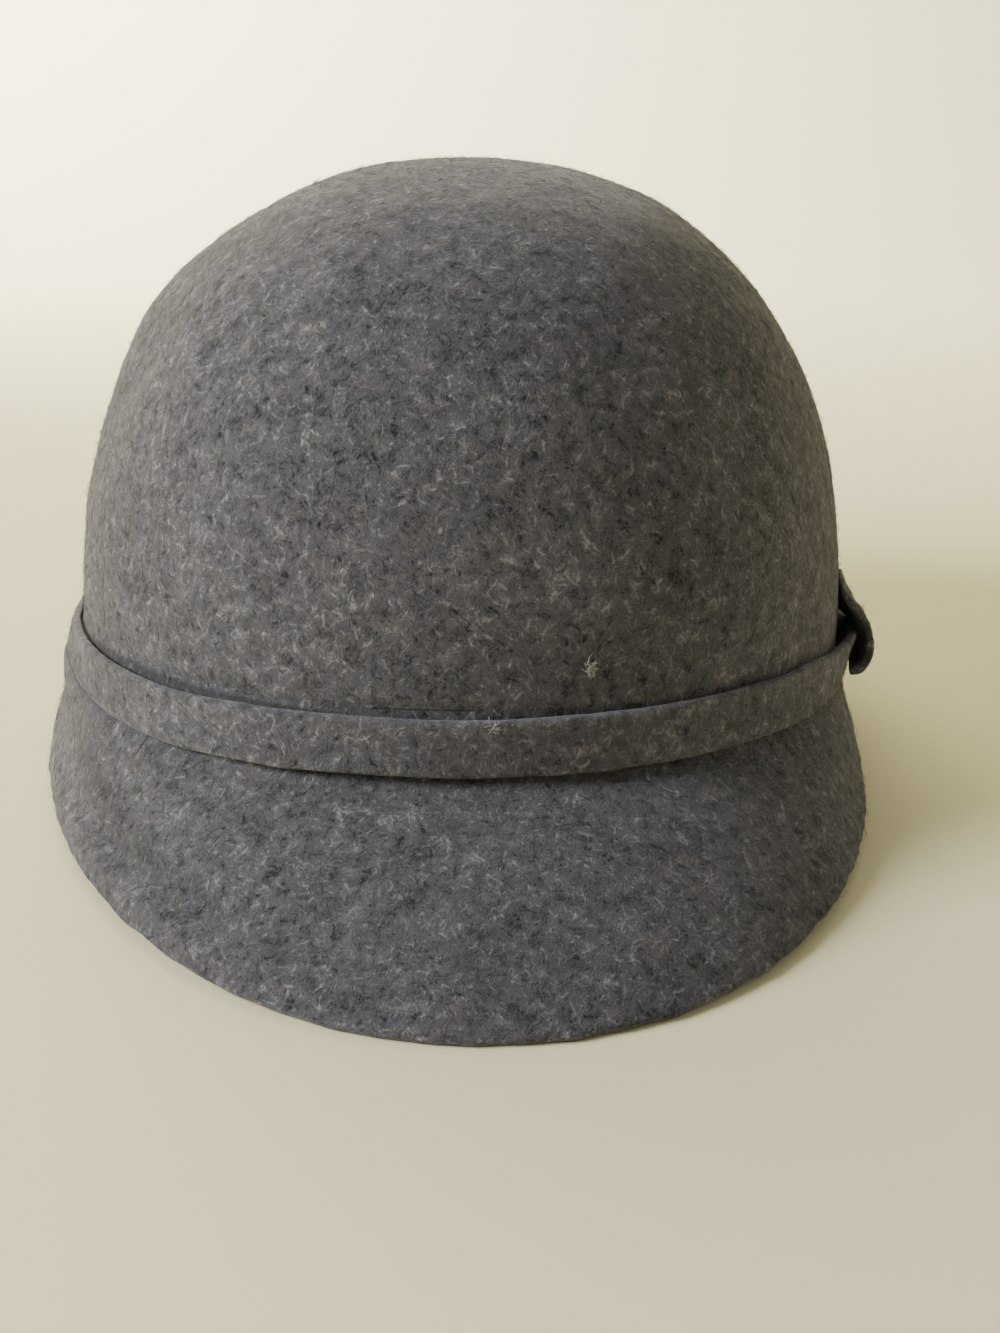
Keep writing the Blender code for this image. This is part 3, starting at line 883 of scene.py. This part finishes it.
# Wool hairs: from each root a bent line along the surface that lifts off it, as a tapered
# three-sided prism of three rings and a tip
def hairMesh(name, roots, normals, radius, reach, rng):
    count = len(roots)
    along = np.cross(normals, rng.normal(size=(count, 3)))
    along /= np.linalg.norm(along, axis=1, keepdims=True)
    aside = np.cross(normals, along)
    length = reach * np.exp(rng.normal(0, fuzzLook["lengthSpread"], (count, 1)))
    lift = rng.normal(fuzzLook["riseMiddle"], fuzzLook["riseSpread"], (count, 1))
    rise = fuzzLook["rise"] * np.abs(lift)
    curl = fuzzLook["curl"] * rng.normal(0, fuzzLook["curlSpread"], (count, 1))
    shares = np.array(fuzzLook["stations"])[:, None, None]
    line = roots + along * length * shares * (1 - fuzzLook["shorten"] * shares * curl**2)
    line = line + aside * length * curl * shares**2
    line = line + normals * rise * np.sin(shares * fuzzLook["arch"])
    angle = np.array([0, 2, 4]) * np.pi / 3
    ring = np.cos(angle)[:, None, None] * aside + np.sin(angle)[:, None, None] * normals
    thin = radius * (1 - fuzzLook["taper"] * shares[:3])
    rings = line[:3, None] + ring[None] * thin[:, None]
    points = np.concatenate([rings.reshape(-1, count, 3), line[3:]]).transpose(1, 0, 2)
    points[..., 2] = np.maximum(points[..., 2], fuzzLook["lowest"])
    row, side = np.divmod(np.arange(6), 3)
    beside = (side + 1) % 3
    upper, lower = 3 * row, 3 * row + 3
    quads = np.stack([upper + side, upper + beside, lower + beside, lower + side], -1)
    tips = np.array([[6, 7, 9], [7, 8, 9], [8, 6, 9], [2, 1, 0]])
    starts = (np.arange(count) * points.shape[1])[:, None, None]
    faces = (quads + starts).reshape(-1, 4).tolist() + (tips + starts).reshape(-1, 3).tolist()
    return newPiece(name, points + crownMiddle, faces)


# A hair's finish: two greys mixed by a soft noise, so that neighbours differ
def hairMaterial(name, look):
    material, tree, shader = newMaterial(name, fuzzLook["finish"])
    place = Wire(tree).node("TexCoord", {}, {}, "Object")
    patch = fuzzLook["patch"]
    share = place.noise(patch["size"]).step(patch["from"], patch["to"])
    tree.links.new(mixColour(share, look["colour"], look["other"]).socket, shader.inputs["Base Color"])
    return material


# Where hairs may stand: all of the hood's outer skin but what the band covers, and the outer
# faces of the strips
def hairGrounds():
    rises = hoodSkin[..., 2] - headLine(hoodSkin[..., 1])
    turn = np.linspace(0, 2 * np.pi, hoodShape["columns"], endpoint=False)
    top = roundTable(turn, bandShape["edges"], "top") + fuzzLook["overEdge"]
    bottom = roundTable(turn, bandShape["edges"], "bottom") - fuzzLook["underEdge"]
    bare = (rises > top) | (rises < bottom)
    bandFace = bandSkin[: len(bandSkin) // 2]
    return {
        "hood": (hoodSkin, bare[:-1]),
        "band": (bandFace, np.ones(bandFace[:-1].shape[:2])),
        "loop": (loopSkin, np.ones(loopSkin[:-1].shape[:2])),
    }


print("stage: fuzz")
grounds = hairGrounds()
hairMaterials = {kind: hairMaterial(kind + "Hair", fuzzLook[kind]) for kind in ("pale", "dark", "lint")}
fuzz = []
for batch in fuzzLook["batches"]:
    rng = np.random.default_rng(batch["seed"])
    skin, keep = grounds[batch["on"]]
    roots, directions = scatter(skin, keep, batch["count"], rng)
    radius = fuzzLook[batch["kind"]]["radius"]
    piece = hairMesh(batch["name"], roots, directions, radius, fuzzLook["length"], rng)
    piece.data.materials.append(hairMaterials[batch["kind"]])
    fuzz.append((piece, batch["on"]))
rng = np.random.default_rng(fuzzLook["lintSeed"])
for spot in fuzzLook["lints"]:
    roots, directions = spotPlaces(spot, rng)
    radius = fuzzLook["lint"]["radius"]
    piece = hairMesh(spot["name"], roots, directions, radius, fuzzLook["lintLength"], rng)
    piece.data.materials.append(hairMaterials["lint"])
    fuzz.append((piece, "hood"))

for piece, node, slot in (
    (hood, "felt_hood", "hood_felt"),
    (band, "band", "band_felt"),
    (loop, "band_loop", "loop_felt"),
):
    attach(piece, "root")
    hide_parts(node)
for piece, ground in fuzz:
    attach(piece, "root")

studio = {
    # how far from the crown's middle the floor starts to rise: behind, at the sides and in front
    "wallAt": 0.62,
    "floorSide": 1.9,
    "floorFront": 5.0,
    "wallCorner": 0.6,
    "wallBend": 0.45,
    "wallTop": 1.8,
    "sideTop": 1.2,
    "cornerSteps": 25,
    "bendSteps": 33,
    "paper": {"Base Color": (0.815, 0.760, 0.490, 1), "Roughness": 0.8, "Specular IOR Level": 0.2},
    "worldColour": (1.0, 0.970, 0.90, 1),
    "worldStrength": 0.25,
    "lights": (
        {"name": "window", "at": (-1.42, -0.33, 0.82), "aim": (0, 0, 0.06), "size": 0.85, "watts": 48},
        {"name": "sky", "at": (-0.15, 0.75, 1.5), "aim": (0, 0, 0.06), "size": 1.2, "watts": 0.5},
        {"name": "bounce", "at": (1.25, -0.25, 0.45), "aim": (0, 0, 0.04), "size": 0.8, "watts": 2.4},
        {"name": "wall", "at": (-0.45, 0.62, 0.75), "aim": (-0.05, 1.45, 0.50), "size": 0.4, "watts": 45},
    ),
    "tint": (0.975, 0.977, 1.0),
}


# Backdrop of pale paper: a floor with rounded corners that bends up into a wall all round, a
# quarter circle carried along the floor's outline, and filled inwards to a line through its middle
def buildBackdrop():
    corner, bend, steps = studio["wallCorner"], studio["wallBend"], studio["cornerSteps"]
    turn = (np.arange(4)[:, None] * np.pi / 2 + np.linspace(0, np.pi / 2, steps)).ravel()
    out = np.stack([np.cos(turn), np.sin(turn)], -1)
    side = np.repeat([1, -1, -1, 1], steps) * (studio["floorSide"] - corner)
    depth = np.repeat([studio["wallAt"] - corner] * 2 + [corner - studio["floorFront"]] * 2, steps)
    outline = np.stack([side, depth], -1) + out * corner
    angle = np.linspace(0, np.pi / 2, studio["bendSteps"])[:, None]
    top = studio["sideTop"] + (studio["wallTop"] - studio["sideTop"]) * np.maximum(out[:, 1], 0)
    bent = bend * (1 - np.cos(angle)) * np.ones_like(top)
    rise = np.concatenate([np.zeros_like(top)[None], bent, top[None]])
    reach = np.concatenate([bend * np.sin(angle), [[bend]]])[..., None]
    middle = np.stack([np.zeros_like(depth), depth], -1)[None]
    level = np.concatenate([middle, outline + out * reach])
    points = np.concatenate([level, rise[..., None]], -1)
    backdrop = newPiece("backdrop", points, ringFaces(len(points), turn.size, False).tolist())
    backdrop.data.materials.append(newMaterial("palePaper", studio["paper"])[0])


# The matrix of an object at a place, with its -Z towards a target and rolled round that line
def aimed(place, target, roll=0.0):
    back = place - target
    back /= np.linalg.norm(back)
    right = np.cross(-back, (0, 0, 1))
    right /= np.linalg.norm(right)
    up = np.cross(right, -back)
    across = right * math.cos(roll) + up * math.sin(roll)
    above = up * math.cos(roll) - right * math.sin(roll)
    matrix = np.eye(4)
    matrix[:3, 0], matrix[:3, 1], matrix[:3, 2], matrix[:3, 3] = across, above, back, place
    return Matrix(matrix.tolist())


# Round area lights, each aimed from its place at its own target, and a soft even sky
def buildLights():
    for row in studio["lights"]:
        lamp = bpy.data.lights.new(row["name"], "AREA")
        lamp.shape = "DISK"
        lamp.size = row["size"]
        lamp.energy = row["watts"]
        lamp.color = studio["tint"]
        light = bpy.data.objects.new(row["name"], lamp)
        bpy.context.scene.collection.objects.link(light)
        light.matrix_world = aimed(crownMiddle + row["at"], crownMiddle + row["aim"])
    world = bpy.data.worlds.new("softWorld")
    world.use_nodes = True
    sky = world.node_tree.nodes["Background"]
    sky.inputs["Color"].default_value = studio["worldColour"]
    sky.inputs["Strength"].default_value = studio["worldStrength"]
    bpy.context.scene.world = world


cameraView = {
    "yaw": math.radians(-5.76),
    "above": math.radians(21.13),
    "distance": 0.4374,
    "target": (0.0100, 0.0, 0.0112),
    "roll": math.radians(0.865),
    "focal": 1802.3,  # in pixels of a frame 1333 high
    "frameHeight": 1333,
    "sensor": 36.0,
    "nearest": 0.01,
}


# The camera: back from its target by yaw and height angles, with the photo's field of view
def buildCamera():
    yaw, above = cameraView["yaw"], cameraView["above"]
    level = math.cos(above)
    back = np.array([math.sin(yaw) * level, -math.cos(yaw) * level, math.sin(above)])
    target = crownMiddle + np.array(cameraView["target"])
    lens = bpy.data.cameras.new("camera")
    lens.sensor_fit = "VERTICAL"
    lens.sensor_height = cameraView["sensor"]
    lens.lens = cameraView["focal"] / cameraView["frameHeight"] * cameraView["sensor"]
    lens.clip_start = cameraView["nearest"]
    camera = bpy.data.objects.new("camera", lens)
    bpy.context.scene.collection.objects.link(camera)
    camera.matrix_world = aimed(target + back * cameraView["distance"], target, cameraView["roll"])
    bpy.context.scene.camera = camera


print("stage: floor, light and camera")
buildBackdrop()
buildLights()
buildCamera()
